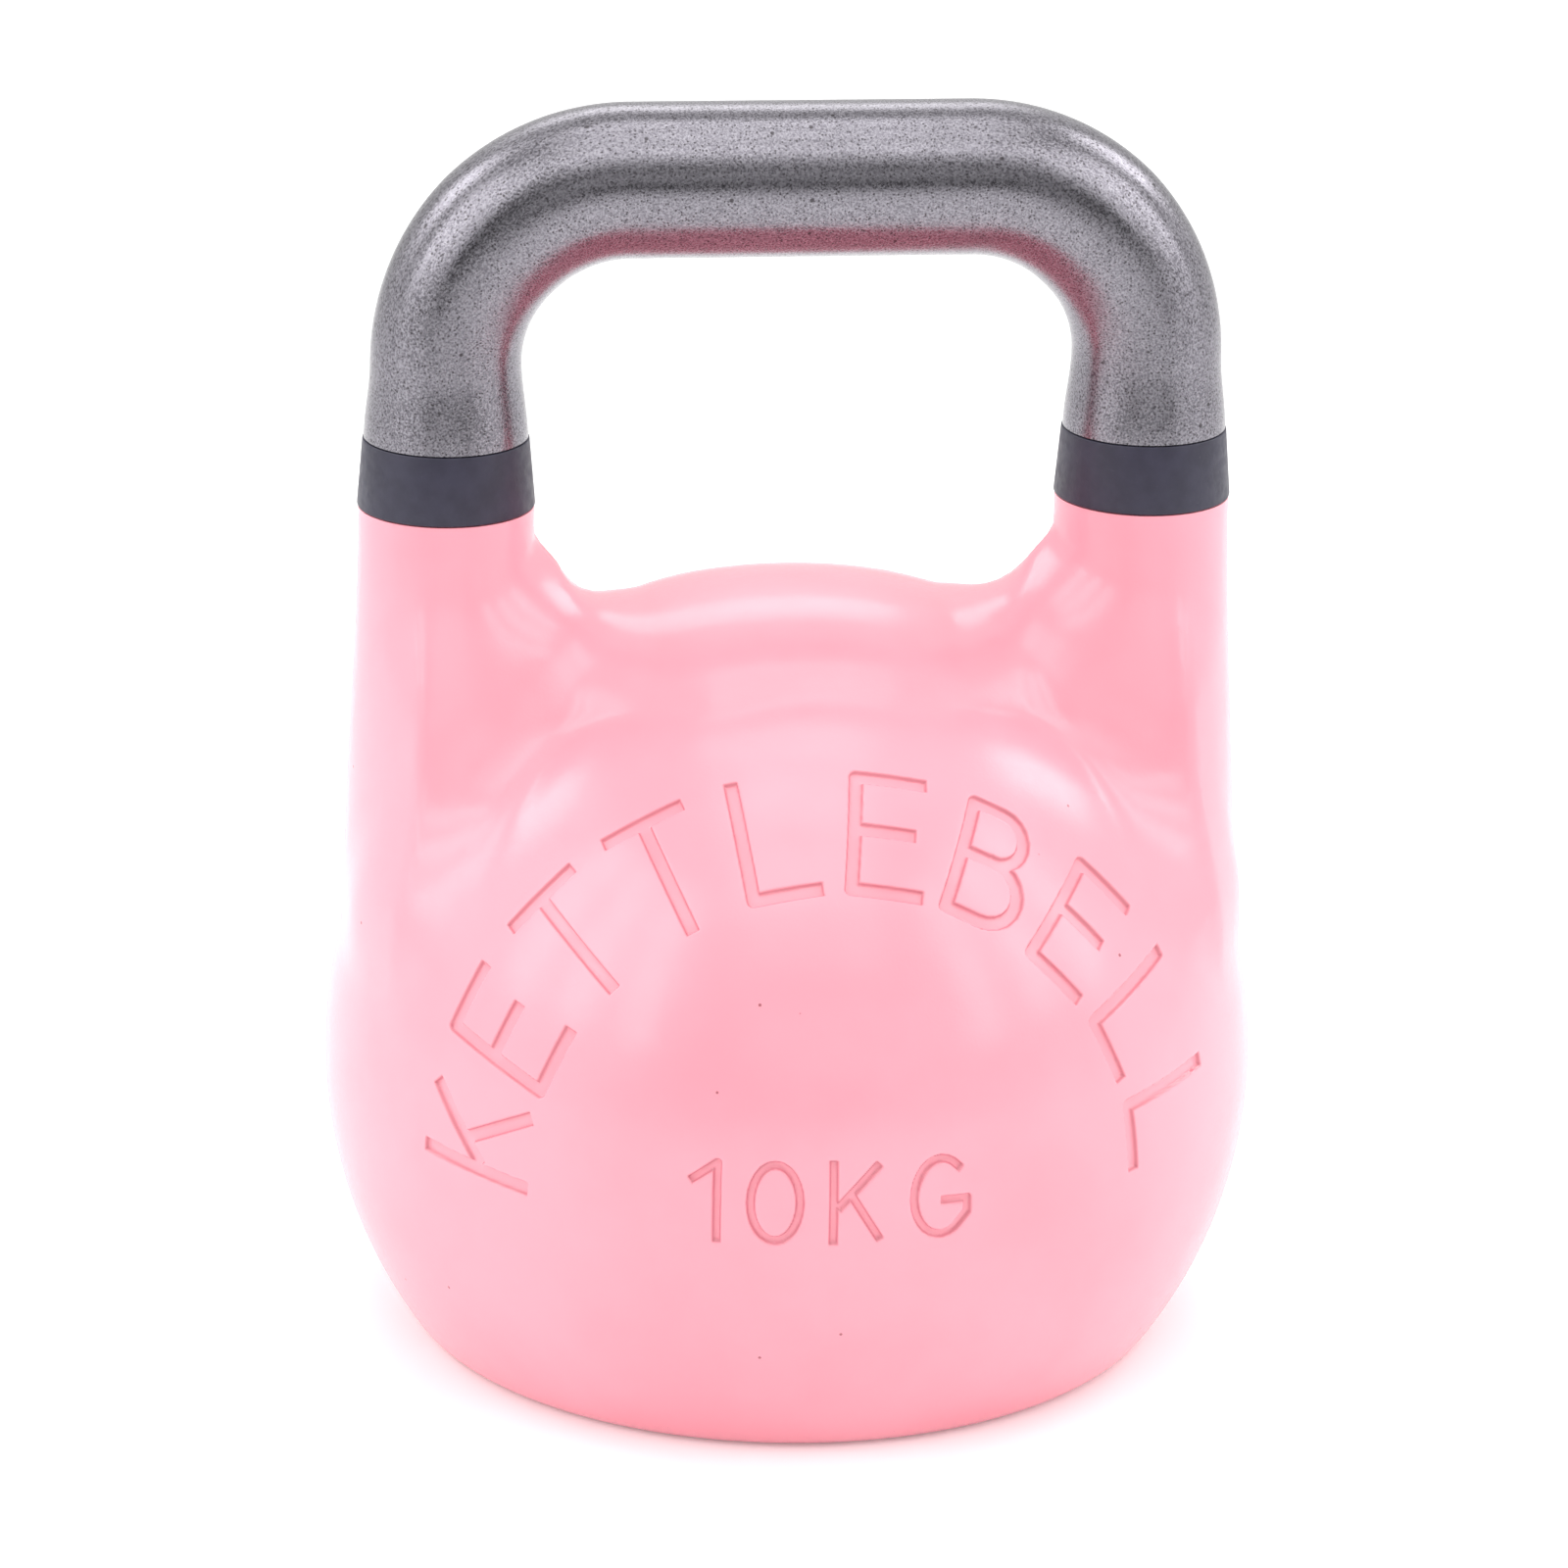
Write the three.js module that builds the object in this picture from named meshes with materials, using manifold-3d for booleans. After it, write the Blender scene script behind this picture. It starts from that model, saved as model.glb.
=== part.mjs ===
// A competition-style kettlebell of 10 kg: a hollow painted bell with two horns, a bare
// steel handle seated in the horns, a band over each seam, and a closed, weighted base.
//
// Millimetres. +Z is up, the handle's bar runs along X, and the marked front faces -Y.
// The origin is the centre of the flat base.

import * as THREE from 'three';
import { ParametricGeometry } from 'three/addons/geometries/ParametricGeometry.js';
import { mergeVertices } from 'three/addons/utils/BufferGeometryUtils.js';
import Module from 'manifold-3d';

const wasm = await Module();
wasm.setup();

// ---- Driving dimensions -------------------------------------------------------------

const HEIGHT = 280;               // floor to the top of the bar
const BALL_RADIUS = 105;
const BALL_CENTRE_Z = 61.8;       // the ball is cut flat at z = 0
const WALL = 4.5;                 // thickness of the bell's wall
const GAP = 0.3;                  // clearance between pieces that touch

const GRIP_RADIUS = 17;           // round bar of the handle
const LEG_X = 77.4;               // centre line of each leg and of the top of each horn
const BEND_RADIUS = 40;           // centre-line radius of the handle's two corners
const SPIGOT_RADIUS = 10;         // reduced end of each leg
const SPIGOT_LENGTH = 35;

const HORN_TOP_Z = 190.8;         // where the painted horn ends and the band starts
const HORN_TOP_RADIUS = 19.4;
const HORN_FOOT_Z = 70;           // the horn's foot is buried in the ball
const HORN_OUTER_SPREAD = 3.7;    // how far the outer edge leans out on its way down
const HORN_SPREAD_HEIGHT = 92;    // and over what height it does so
const HORN_DEPTH_TAPER = 0.19;    // growth of the half depth for each mm further down
const WINDOW_CORNER_RADIUS = 21;  // lower corners of the hand window

const COLLAR_HEIGHT = 14.4;       // end of the horn under the band
const COLLAR_FOOT_RADIUS = 18.3;
const COLLAR_TOP_RADIUS = GRIP_RADIUS;
const BAND_HEIGHT = 15.4;
const BAND_THICKNESS = 1;

const NECK_HALF_LENGTH = 66;      // the neck bridges the horns above the ball
const NECK_CENTRE_Z = 90;
const NECK_MID_DEPTH = 72;        // half depth at the middle and at the horns
const NECK_END_DEPTH = 28;
const NECK_END_TOP_Z = 168;       // saddle height beside the horns
const NECK_CROWN = 5;             // extra height at the middle of the saddle
const NECK_CROWN_HALF_LENGTH = 38;

const FLOOR_THICKNESS = 8;        // the bell's floor, around the filling hole
const FILLING_HOLE_RADIUS = 40;
const PLATE_RADIUS = 48;
const PLATE_BOTTOM_Z = 0.6;       // the plate sits just clear of the ground
const PLATE_TOP_Z = 6;
const BOSS_RADIUS = 17;
const BOSS_TOP_Z = 15;
const PLUG_SHANK_RADIUS = 11;
const PLUG_HEAD_RADIUS = 16;
const PLUG_HEAD_BOTTOM_Z = 0.9;
const PLUG_HEAD_TOP_Z = 2.4;
const SEAL_TOP_Z = 3.3;
const HEX_SOCKET_FLATS = 12;
const HEX_SOCKET_DEPTH = 6;
const BALLAST_RADIUS = 66;
const BALLAST_HEIGHT = 6;

const ROUND = 44;                 // facets round the ball and the base
const SMALL_ROUND = 28;           // facets round the horns, neck, bands and plug
const BAR_SIDES = 20;             // facets round the handle's bar
const BAR_STEPS = 38;             // facets along the handle's bar
const OVERRUN = 1;                // how far a cutter runs past the face that it cuts

const COLLAR_TOP_Z = HORN_TOP_Z + COLLAR_HEIGHT;
const BAR_Z = HEIGHT - GRIP_RADIUS;
const CAVITY_RADIUS = BALL_RADIUS - WALL;

// ---- Colours and finishes -----------------------------------------------------------

const paint = { color: 0xf8a9ba, roughness: 0.38, metalness: 0 };
const bareSteel = { color: 0x85858c, roughness: 0.42, metalness: 1 };
const darkVinyl = { color: 0x2f2e3a, roughness: 0.5, metalness: 0 };
const zincPlate = { color: 0x9a9a98, roughness: 0.45, metalness: 1 };
const blackRubber = { color: 0x1c1c1e, roughness: 0.8, metalness: 0 };
const shotResin = { color: 0x55504a, roughness: 0.8, metalness: 0.3 };
const foam = { color: 0xd8cfa8, roughness: 0.95, metalness: 0 };

// ---- Solids and booleans ------------------------------------------------------------

// Shared vertices are merged, and the flat triangles at the poles are dropped.
function toSolid(geometry) {
  const bare = geometry.clone();
  bare.deleteAttribute('normal');
  bare.deleteAttribute('uv');
  const merged = mergeVertices(bare, 1e-4);
  const index = merged.index.array;
  const triangles = [];
  for (let i = 0; i < index.length; i += 3) {
    const [a, b, c] = index.slice(i, i + 3);
    if (a !== b && b !== c && c !== a) {
      triangles.push(a, b, c);
    }
  }
  return new wasm.Manifold(new wasm.Mesh({
    numProp: 3,
    vertProperties: new Float32Array(merged.attributes.position.array),
    triVerts: new Uint32Array(triangles),
  }));
}

function toGeometry(solid) {
  const mesh = solid.getMesh();
  const geometry = new THREE.BufferGeometry();
  geometry.setAttribute('position', new THREE.BufferAttribute(mesh.vertProperties, 3));
  geometry.setIndex(new THREE.BufferAttribute(mesh.triVerts, 1));
  geometry.computeVertexNormals();
  return geometry;
}

function join(...geometries) {
  return toGeometry(geometries.map(toSolid).reduce((sum, solid) => sum.add(solid)));
}

function cut(geometry, ...cutters) {
  return toGeometry(cutters.map(toSolid).reduce((rest, solid) => rest.subtract(solid), toSolid(geometry)));
}

// ---- Basic shapes -------------------------------------------------------------------

// A solid of revolution about Z. The profile is a list of [radius, z], from the axis
// at the bottom, outwards and up, back to the axis, or a closed loop for a ring.
function turned(profile, facets = ROUND) {
  const points = profile.map(([radius, z]) => new THREE.Vector2(radius, z));
  return new THREE.LatheGeometry(points, facets).rotateX(Math.PI / 2);
}

function upright(radius, bottomZ, topZ, facets = SMALL_ROUND) {
  return turned([[0, bottomZ], [radius, bottomZ], [radius, topZ], [0, topZ]], facets);
}

// A ball of the given radius about the bell's centre, cut flat at floorZ.
function cutBallProfile(radius, floorZ) {
  const start = Math.asin((floorZ - BALL_CENTRE_Z) / radius);
  const stepsBelow = 6;
  const stepsAbove = 14;
  const profile = [[0, floorZ]];
  for (let i = 0; i < stepsBelow; i += 1) {
    const angle = start * (1 - i / stepsBelow);
    profile.push([radius * Math.cos(angle), BALL_CENTRE_Z + radius * Math.sin(angle)]);
  }
  for (let i = 0; i < stepsAbove; i += 1) {
    const angle = (i / stepsAbove) * Math.PI / 2;
    profile.push([radius * Math.cos(angle), BALL_CENTRE_Z + radius * Math.sin(angle)]);
  }
  profile.push([0, BALL_CENTRE_Z + radius]);
  return profile;
}

// A stack of elliptical sections, closed at both ends. Each row is {x, z, halfWidth, halfDepth}.
function lofted(rows, facets = SMALL_ROUND) {
  const first = { ...rows[0], halfWidth: 0, halfDepth: 0 };
  const last = { ...rows.at(-1), halfWidth: 0, halfDepth: 0 };
  const stack = [first, ...rows, last];
  const place = (u, v, target) => {
    const row = stack[Math.round(v * (stack.length - 1))];
    const angle = u * 2 * Math.PI;
    target.set(row.x + row.halfWidth * Math.cos(angle), row.halfDepth * Math.sin(angle), row.z);
  };
  return new ParametricGeometry(place, facets, stack.length - 1);
}

// ---- The bell -----------------------------------------------------------------------

// The horn's inner edge drops straight from the band and then sweeps in round the
// corner of the hand window.
function hornInnerEdge(z) {
  const straightX = LEG_X - HORN_TOP_RADIUS;
  const drop = Math.min(HORN_TOP_Z - z, WINDOW_CORNER_RADIUS);
  const inset = WINDOW_CORNER_RADIUS - Math.sqrt(WINDOW_CORNER_RADIUS ** 2 - drop ** 2);
  return straightX - inset;
}

function hornRow(z) {
  const lean = Math.min(1, (HORN_TOP_Z - z) / HORN_SPREAD_HEIGHT);
  const outer = LEG_X + HORN_TOP_RADIUS + HORN_OUTER_SPREAD * lean;
  const inner = hornInnerEdge(z);
  return {
    x: (outer + inner) / 2,
    z,
    halfWidth: (outer - inner) / 2,
    halfDepth: HORN_TOP_RADIUS + HORN_DEPTH_TAPER * (HORN_TOP_Z - z),
  };
}

function horn() {
  const rows = [];
  const cornerFootZ = HORN_TOP_Z - WINDOW_CORNER_RADIUS;
  for (let z = HORN_FOOT_Z; z < cornerFootZ; z += 20) {
    rows.push(hornRow(z));
  }
  const cornerSteps = 7;
  for (let i = cornerSteps; i >= 0; i -= 1) {
    const angle = (i / cornerSteps) * Math.PI / 2;
    rows.push(hornRow(HORN_TOP_Z - WINDOW_CORNER_RADIUS * Math.sin(angle)));
  }
  rows.push({ x: LEG_X, z: HORN_TOP_Z, halfWidth: COLLAR_FOOT_RADIUS, halfDepth: COLLAR_FOOT_RADIUS });
  rows.push({ x: LEG_X, z: COLLAR_TOP_Z, halfWidth: COLLAR_TOP_RADIUS, halfDepth: COLLAR_TOP_RADIUS });
  return lofted(rows);
}

// A value that is 1 at the middle and falls along a parabola to 0 at the given reach.
function bulge(x, reach) {
  return Math.max(0, 1 - (x / reach) ** 2);
}

// The neck is lofted along Z here, with its height across X, and then laid along X.
function neck() {
  const steps = 12;
  const rows = [];
  for (let i = 0; i <= steps; i += 1) {
    const x = NECK_HALF_LENGTH * (2 * i / steps - 1);
    const topZ = NECK_END_TOP_Z + NECK_CROWN * bulge(x, NECK_CROWN_HALF_LENGTH);
    rows.push({
      x: -NECK_CENTRE_Z,
      z: x,
      halfWidth: topZ - NECK_CENTRE_Z,
      halfDepth: NECK_END_DEPTH + (NECK_MID_DEPTH - NECK_END_DEPTH) * bulge(x, NECK_HALF_LENGTH),
    });
  }
  return lofted(rows).rotateY(Math.PI / 2);
}

function spigotSocket() {
  const bottomZ = COLLAR_TOP_Z - SPIGOT_LENGTH - GAP;
  return upright(SPIGOT_RADIUS + GAP, bottomZ, COLLAR_TOP_Z + OVERRUN).translate(LEG_X, 0, 0);
}

// The cavity follows the ball and opens through the filling hole, which is rebated
// from below for the base plate.
function cavityCutters() {
  return [
    turned(cutBallProfile(CAVITY_RADIUS, FLOOR_THICKNESS)),
    upright(FILLING_HOLE_RADIUS, -OVERRUN, FLOOR_THICKNESS + OVERRUN, ROUND),
    upright(PLATE_RADIUS + GAP, -OVERRUN, PLATE_TOP_Z + GAP, ROUND),
  ];
}

// Turning a piece by half a turn about Z makes the one on the other side.
function opposite(geometry) {
  return geometry.clone().rotateZ(Math.PI);
}

function bellShell() {
  const body = join(turned(cutBallProfile(BALL_RADIUS, 0)), neck(), horn(), opposite(horn()));
  return cut(body, ...cavityCutters(), spigotSocket(), opposite(spigotSocket()));
}

// ---- The handle ---------------------------------------------------------------------

// The centre line: up one leg, round a corner, along the bar and down the other side.
class HandleLine extends THREE.Curve {
  getPoint(t, target = new THREE.Vector3()) {
    const legLength = BAR_Z - BEND_RADIUS - (COLLAR_TOP_Z + GAP);
    const bendLength = BEND_RADIUS * Math.PI / 2;
    const halfBar = LEG_X - BEND_RADIUS;
    const halfLength = legLength + bendLength + halfBar;
    const fromMiddle = (2 * t - 1) * halfLength;
    const side = Math.sign(fromMiddle);
    const along = Math.abs(fromMiddle);
    if (along <= halfBar) {
      return target.set(fromMiddle, 0, BAR_Z);
    }
    if (along <= halfBar + bendLength) {
      const angle = (along - halfBar) / BEND_RADIUS;
      const x = halfBar + BEND_RADIUS * Math.sin(angle);
      return target.set(side * x, 0, BAR_Z - BEND_RADIUS * (1 - Math.cos(angle)));
    }
    return target.set(side * LEG_X, 0, BAR_Z - BEND_RADIUS - (along - halfBar - bendLength));
  }
}

function circle(radius, sides) {
  const points = [];
  for (let i = 0; i < sides; i += 1) {
    const angle = (i / sides) * 2 * Math.PI;
    points.push(new THREE.Vector2(radius * Math.cos(angle), radius * Math.sin(angle)));
  }
  return new THREE.Shape(points);
}

function spigot() {
  const topZ = COLLAR_TOP_Z + GAP;
  return upright(SPIGOT_RADIUS, topZ - SPIGOT_LENGTH, topZ + OVERRUN, BAR_SIDES).translate(LEG_X, 0, 0);
}

function handle() {
  const bar = new THREE.ExtrudeGeometry(circle(GRIP_RADIUS, BAR_SIDES), {
    steps: BAR_STEPS,
    bevelEnabled: false,
    extrudePath: new HandleLine(),
  });
  return join(bar, spigot(), opposite(spigot()));
}

// A thin sleeve that follows the collar's taper and laps over the foot of the leg.
function band() {
  const footZ = HORN_TOP_Z + GAP;
  const topZ = HORN_TOP_Z + BAND_HEIGHT;
  const foot = COLLAR_FOOT_RADIUS + GAP;
  const top = COLLAR_TOP_RADIUS + GAP;
  return turned([
    [foot, footZ],
    [foot + BAND_THICKNESS, footZ],
    [top + BAND_THICKNESS, topZ],
    [top, topZ],
    [foot, footZ],
  ], SMALL_ROUND).translate(LEG_X, 0, 0);
}

// ---- The base and what is inside ----------------------------------------------------

function basePlate() {
  const disc = upright(PLATE_RADIUS, PLATE_BOTTOM_Z, PLATE_TOP_Z, ROUND);
  const boss = upright(BOSS_RADIUS, PLATE_TOP_Z - OVERRUN, BOSS_TOP_Z);
  const bore = upright(PLUG_SHANK_RADIUS + GAP, -OVERRUN, BOSS_TOP_Z + OVERRUN);
  const headRecess = upright(PLUG_HEAD_RADIUS + GAP, -OVERRUN, SEAL_TOP_Z + GAP);
  return cut(join(disc, boss), bore, headRecess);
}

function fillPlug() {
  const shank = upright(PLUG_SHANK_RADIUS, PLUG_HEAD_TOP_Z - OVERRUN, BOSS_TOP_Z - OVERRUN);
  const head = upright(PLUG_HEAD_RADIUS, PLUG_HEAD_BOTTOM_Z, PLUG_HEAD_TOP_Z);
  const hexRadius = HEX_SOCKET_FLATS / Math.sqrt(3);
  const hexSocket = upright(hexRadius, 0, PLUG_HEAD_BOTTOM_Z + HEX_SOCKET_DEPTH, 6);
  return cut(join(shank, head), hexSocket);
}

function ring(innerRadius, outerRadius, bottomZ, topZ, facets = SMALL_ROUND) {
  return turned([
    [innerRadius, bottomZ],
    [outerRadius, bottomZ],
    [outerRadius, topZ],
    [innerRadius, topZ],
    [innerRadius, bottomZ],
  ], facets);
}

function plugSeal() {
  const clearance = 0.5;
  return ring(
    PLUG_SHANK_RADIUS + clearance,
    PLUG_HEAD_RADIUS - clearance,
    PLUG_HEAD_TOP_Z + GAP,
    SEAL_TOP_Z,
  );
}

function ballastSlug() {
  const bottomZ = FLOOR_THICKNESS + GAP;
  return ring(BOSS_RADIUS + GAP, BALLAST_RADIUS, bottomZ, bottomZ + BALLAST_HEIGHT, ROUND);
}

// Foam fills the rest of the cavity, with a pocket over the boss.
function foamCore() {
  const bottomZ = FLOOR_THICKNESS + BALLAST_HEIGHT + 2 * GAP;
  const block = turned(cutBallProfile(CAVITY_RADIUS - GAP, bottomZ));
  const bossPocket = upright(BOSS_RADIUS + GAP, bottomZ - OVERRUN, BOSS_TOP_Z + GAP);
  return cut(block, bossPocket);
}

// ---- Assembly -----------------------------------------------------------------------

const kettlebell = new THREE.Group();

function add(name, geometry, finish) {
  const mesh = new THREE.Mesh(geometry, new THREE.MeshStandardMaterial(finish));
  mesh.name = name;
  kettlebell.add(mesh);
}

add('bell_shell', bellShell(), paint);
add('handle', handle(), bareSteel);
add('band_right', band(), darkVinyl);
add('band_left', opposite(band()), darkVinyl);
add('base_plate', basePlate(), zincPlate);
add('fill_plug', fillPlug(), zincPlate);
add('plug_seal', plugSeal(), blackRubber);
add('ballast_slug', ballastSlug(), shotResin);
add('foam_core', foamCore(), foam);

export default kettlebell;
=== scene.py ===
"""A competition-style kettlebell: the finished surfaces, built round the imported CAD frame.

The shapes are worked out in millimetres and turned into metres as each mesh is made. The bell's skin
is the surface of a distance function: a ball, a neck and two horns, blended into each other.
"""

import math

import bmesh
import bpy
import numpy as np
from mathutils import Matrix, Vector


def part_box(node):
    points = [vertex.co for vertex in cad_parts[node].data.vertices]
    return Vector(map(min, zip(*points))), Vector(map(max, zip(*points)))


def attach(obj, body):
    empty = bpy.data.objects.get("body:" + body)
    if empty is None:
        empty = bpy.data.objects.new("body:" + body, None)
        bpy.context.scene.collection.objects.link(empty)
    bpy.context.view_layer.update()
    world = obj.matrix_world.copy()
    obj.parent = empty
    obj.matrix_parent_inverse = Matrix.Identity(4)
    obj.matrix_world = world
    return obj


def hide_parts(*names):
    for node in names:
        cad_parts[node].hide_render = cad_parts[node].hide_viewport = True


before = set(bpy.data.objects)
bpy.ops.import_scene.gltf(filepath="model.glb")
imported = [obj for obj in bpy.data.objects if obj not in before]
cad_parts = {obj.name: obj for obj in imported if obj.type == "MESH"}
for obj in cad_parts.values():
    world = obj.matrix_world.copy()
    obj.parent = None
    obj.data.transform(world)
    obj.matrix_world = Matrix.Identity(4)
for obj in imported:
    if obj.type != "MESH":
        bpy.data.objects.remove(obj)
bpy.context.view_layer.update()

# ---- Dimensions, in millimetres -------------------------------------------------------------------

MM = 0.001


def corners(node):
    """The lowest and highest corner of a CAD node."""
    low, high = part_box(node)
    return np.array(low) / MM, np.array(high) / MM


SHELL_HIGH = corners("bell_shell")[1]
HANDLE_LOW, HANDLE_HIGH = corners("handle")
BAND_LOW, BAND_HIGH = corners("band_right")
PLATE_LOW, PLATE_HIGH = corners("base_plate")
PLUG_LOW, PLUG_HIGH = corners("fill_plug")
SEAL_LOW, SEAL_HIGH = corners("plug_seal")
FOAM_HIGH = corners("foam_core")[1]

GAP = 0.3                                   # clearance between pieces that touch
HEIGHT = HANDLE_HIGH[2]
BALL_RADIUS = SHELL_HIGH[0]
BALL_CENTRE = np.array([0.0, 0.0, 61.8])
CAVITY_RADIUS = FOAM_HIGH[0] + GAP

GRIP_RADIUS = HANDLE_HIGH[1]
LEG_X = (BAND_LOW[0] + BAND_HIGH[0]) / 2
BEND_RADIUS = 40.0
BAR_Z = HEIGHT - GRIP_RADIUS
SPIGOT_RADIUS = 10.0

HORN_TOP_Z = BAND_LOW[2] - GAP
HORN_TOP_RADIUS = 19.4
HORN_FOOT_Z = 80.0
HORN_LEAN = 3.7                             # the outer edge moves out by this on its way down
HORN_LEAN_HEIGHT = 92.0
HORN_DEEPENING = 0.19                       # half depth gained for each mm further down
COLLAR_TOP_Z = SHELL_HIGH[2]
COLLAR_FOOT_RADIUS = 18.3

NECK_CENTRE_Z = 85.0
NECK_HALF_LENGTH = 76.0
NECK_FULL_HALF_LENGTH = 18.0                # the neck is at its deepest as far out as this
NECK_SQUARENESS = 2.4                       # power of the section, and 2 would be an ellipse
NECK_MID_DEPTH = 66.0
NECK_END_DEPTH = 27.0
NECK_END_TOP_Z = 167.2
NECK_CROWN = 4.6
NECK_CROWN_HALF_LENGTH = 34.0

HORN_BLEND = 20.5                           # reach of the blend between horn and neck
HORN_BLEND_FADE = 14.6                      # the blend dies out over this height below the band
BALL_BLEND = 0.9                            # reach of the blend between neck and ball
BALL_HORN_BLEND = 15.0                      # and what is added in front of and behind the horns
BALL_HORN_BLEND_START = 50.0
BALL_HORN_BLEND_SPAN = 26.0
BALL_HORN_BLEND_RISE = 30.0                 # it grows from nothing over this height
BALL_SIDE_SHARE = 0.27                      # share of it which the outer sides have too
BASE_BLEND = 3.0
LEAST_BLEND = 0.01                          # keeps a blend's reach above zero

NET_STEP = 2.6                              # cell size of the skin before it is refined


# ---- The skin of the bell as a distance function --------------------------------------------------

def smooth_min(a, b, reach):
    """The lower of a and b, rounded where they come within reach of each other."""
    share = np.clip(0.5 + 0.5 * (b - a) / reach, 0.0, 1.0)
    return b + (a - b) * share - reach * share * (1.0 - share)


def smooth_step(t):
    t = np.clip(t, 0.0, 1.0)
    return t * t * (3.0 - 2.0 * t)


def bulge(x, reach):
    """1 at the middle, falling along a parabola to 0 at the given reach."""
    return np.clip(1.0 - (x / reach) ** 2, 0.0, None)


def horn_distance(x, y, z):
    """A slightly leaning elliptical column. x is measured from the middle, to either side."""
    down = HORN_TOP_Z - z
    middle = LEG_X + HORN_LEAN * smooth_step(down / HORN_LEAN_HEIGHT)
    half_depth = HORN_TOP_RADIUS + HORN_DEEPENING * np.clip(down, 0.0, None)
    ring = np.sqrt(((x - middle) / HORN_TOP_RADIUS) ** 2 + (y / half_depth) ** 2)
    side = (ring - 1.0) * HORN_TOP_RADIUS
    return np.maximum(side, HORN_FOOT_Z - z)


def neck_distance(x, y, z):
    """A barrel laid between the horns, deeper and a little higher at its middle."""
    toward_end = smooth_step((x - NECK_FULL_HALF_LENGTH) / (NECK_HALF_LENGTH - NECK_FULL_HALF_LENGTH))
    depth = NECK_MID_DEPTH + (NECK_END_DEPTH - NECK_MID_DEPTH) * toward_end
    top = NECK_END_TOP_Z + NECK_CROWN * bulge(x, NECK_CROWN_HALF_LENGTH)
    height = top - NECK_CENTRE_Z
    across, up = np.abs(y / depth), np.abs((z - NECK_CENTRE_Z) / height)
    ring = (across ** NECK_SQUARENESS + up ** NECK_SQUARENESS) ** (1.0 / NECK_SQUARENESS)
    side = (ring - 1.0) * np.minimum(depth, height)
    return np.maximum(side, x - LEG_X)


def bell_distance(p):
    """Below zero inside the bell. The horns run on past the bands, and are cut there later."""
    x, y, z = np.abs(p[..., 0]), p[..., 1], p[..., 2]
    ball = np.sqrt(x ** 2 + y ** 2 + (z - BALL_CENTRE[2]) ** 2) - BALL_RADIUS
    fade = smooth_step((HORN_TOP_Z - z) / (HORN_BLEND_FADE + np.abs(y)))
    shoulders = smooth_min(horn_distance(x, y, z), neck_distance(x, y, z), HORN_BLEND * fade + LEAST_BLEND)
    beside = smooth_step((x - BALL_HORN_BLEND_START) / BALL_HORN_BLEND_SPAN)
    beside = beside * smooth_step((z - HORN_FOOT_Z) / BALL_HORN_BLEND_RISE)
    facing = smooth_step(np.abs(y) / BALL_HORN_BLEND_SPAN)
    beside = beside * (BALL_SIDE_SHARE + (1.0 - BALL_SIDE_SHARE) * facing)
    solid = smooth_min(shoulders, ball, BALL_BLEND + BALL_HORN_BLEND * beside)
    return -smooth_min(-solid, z, BASE_BLEND)


def gradient(distance, p, step=0.05):
    """Central differences."""
    slopes = []
    for axis in np.eye(3) * step:
        slopes.append((distance(p + axis) - distance(p - axis)) / (2.0 * step))
    return np.stack(slopes, axis=-1)


def settle(distance, p, rounds=4):
    """Moves each point onto the surface, along the slope."""
    for _ in range(rounds):
        slope = gradient(distance, p)
        length = np.maximum((slope ** 2).sum(-1), 0.04)
        p = p - (distance(p) / length)[:, None] * slope
    return p


def unit(v):
    return v / np.linalg.norm(v, axis=-1, keepdims=True)


# ---- Meshing a distance function ------------------------------------------------------------------

def surface_net(distance, low, high, step):
    """Vertices and quads of the surface, with one vertex in each grid cell that it crosses."""
    axes = [np.arange(a, b + step, step) for a, b in zip(low, high)]
    inside = distance(np.stack(np.meshgrid(*axes, indexing="ij"), axis=-1)) < 0.0
    count = np.zeros(np.array(inside.shape) - 1, int)
    for corner in np.ndindex(2, 2, 2):
        window = tuple(slice(c, n - 1 + c) for c, n in zip(corner, inside.shape))
        count += inside[window]
    crossed = (count > 0) & (count < 8)
    number = np.full(crossed.shape, -1)
    number[crossed] = np.arange(crossed.sum())
    vertices = np.argwhere(crossed) * step + step / 2 + np.array([a[0] for a in axes])
    quads = []
    for axis in range(3):
        one, two = np.eye(3, dtype=int)[(axis + 1) % 3], np.eye(3, dtype=int)[(axis + 2) % 3]
        near = np.delete(inside, -1, axis)
        far = np.delete(inside, 0, axis)
        edges = np.argwhere(near != far)
        leaving = near[near != far]
        ring = [edges - one - two, edges - two, edges, edges - one]
        quad = np.stack([number[tuple(cell.T)] for cell in ring], axis=-1)
        quad[~leaving] = quad[~leaving][:, ::-1]
        quads.append(quad)
    return vertices, np.concatenate(quads)


def relax(distance, vertices, quads, rounds):
    """Evens out the quads along the surface."""
    edges = np.concatenate([quads[:, [i, (i + 1) % 4]] for i in range(4)])
    ends = np.concatenate([edges[:, 0], edges[:, 1]])
    others = np.concatenate([edges[:, 1], edges[:, 0]])
    degree = np.bincount(ends, minlength=len(vertices))[:, None]
    for _ in range(rounds):
        total = np.stack([np.bincount(ends, vertices[others, i], len(vertices)) for i in range(3)], -1)
        vertices = settle(distance, 0.5 * vertices + 0.5 * total / degree, 1)
    return vertices


def get_points(bm):
    return np.array([v.co for v in bm.verts])


def set_points(bm, points):
    for vertex, place in zip(bm.verts, points):
        vertex.co = place


def refine(bm, distance, wanted):
    """Halves the edges whose middles are wanted, and puts the new points on the surface."""
    bm.edges.ensure_lookup_table()
    ends = np.array([[v.co for v in e.verts] for e in bm.edges])
    picked = np.flatnonzero(wanted(ends.mean(axis=1)))
    chosen = [bm.edges[i] for i in picked]
    bmesh.ops.subdivide_edges(bm, edges=chosen, cuts=1, use_grid_fill=True)
    set_points(bm, settle(distance, get_points(bm), 2))


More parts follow.
